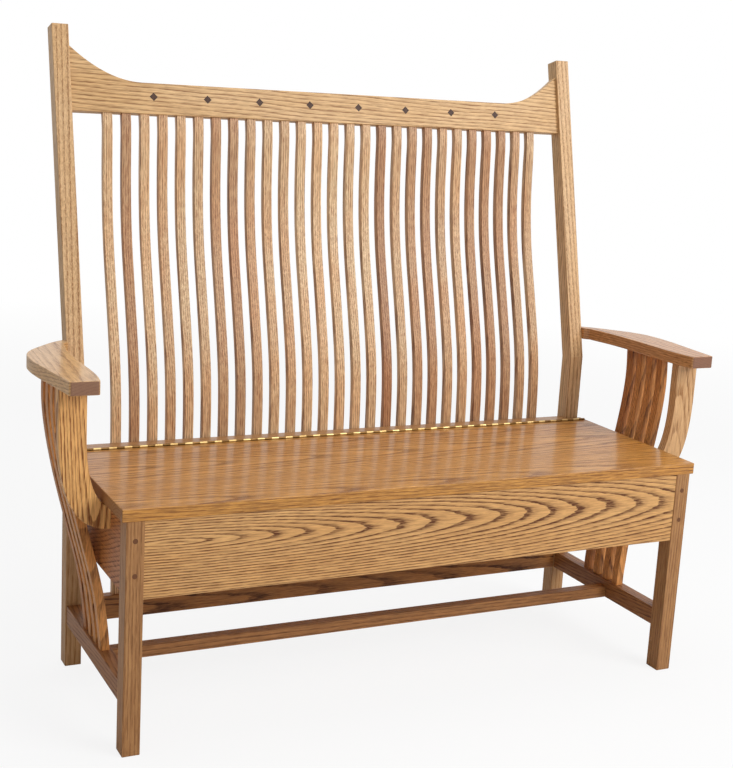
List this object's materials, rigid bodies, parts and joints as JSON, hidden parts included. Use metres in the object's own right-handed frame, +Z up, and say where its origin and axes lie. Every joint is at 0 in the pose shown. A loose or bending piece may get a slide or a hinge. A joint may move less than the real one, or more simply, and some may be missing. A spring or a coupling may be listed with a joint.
{
  "type": "mission settle with storage seat",
  "caption": "High-backed oak settle with bowed slats, a crest rail with upswept ends and diamond inlays, open bowed arms, and a hinged seat lid over a storage box.",
  "frame": {"origin": "on the floor under the middle of the overall size", "axes": "+X along the seat to the sitter's left, +Y to the back, +Z up; the front faces -Y"},
  "size_m": [1.4134, 0.6143, 1.2707],
  "materials": {
    "oak": "satin lacquer",
    "oak_seat": "gloss lacquer",
    "walnut": "satin lacquer",
    "brass": "polished"
  },
  "bodies": {
    "frame": {"crest_rail": "oak", "diamond_inlays": "walnut", "lower_back_rail": "oak", "back_slat_01": "oak", "back_slat_02": "oak", "back_slat_03": "oak", "back_slat_04": "oak", "back_slat_05": "oak", "back_slat_06": "oak", "back_slat_07": "oak", "back_slat_08": "oak", "back_slat_09": "oak", "back_slat_10": "oak", "back_slat_11": "oak", "back_slat_12": "oak", "back_slat_13": "oak", "back_slat_14": "oak", "back_slat_15": "oak", "back_slat_16": "oak", "back_slat_17": "oak", "back_slat_18": "oak", "back_slat_19": "oak", "back_slat_20": "oak", "back_slat_21": "oak", "back_slat_22": "oak", "back_slat_23": "oak", "back_slat_24": "oak", "back_slat_25": "oak", "back_slat_26": "oak", "back_slat_27": "oak", "front_apron": "oak", "box_back_board": "oak", "box_bottom_panel": "oak", "leg_pegs": "walnut", "long_stretcher": "oak", "seat_back_strip": "oak_seat", "hinge_fixed_leaf": "brass", "hinge_pin": "brass", "hinge_fixed_screws": "brass", "left_back_post": "oak", "left_front_leg": "oak", "left_side_apron": "oak", "left_side_stretcher": "oak", "left_arm": "oak", "left_arm_post": "oak", "left_side_slats": "oak", "right_back_post": "oak", "right_front_leg": "oak", "right_side_apron": "oak", "right_side_stretcher": "oak", "right_arm": "oak", "right_arm_post": "oak", "right_side_slats": "oak"},
    "lid": {"seat_lid": "oak_seat", "hinge_lid_leaf": "brass", "hinge_lid_screws": "brass"}
  },
  "joints": [
    {"name": "lid_hinge", "type": "hinge", "parent": "frame", "child": "lid", "pos_m": [0, 0.08477, 0.45902], "axis": [-1, 0, 0], "range_deg": [0, 95]}
  ]
}
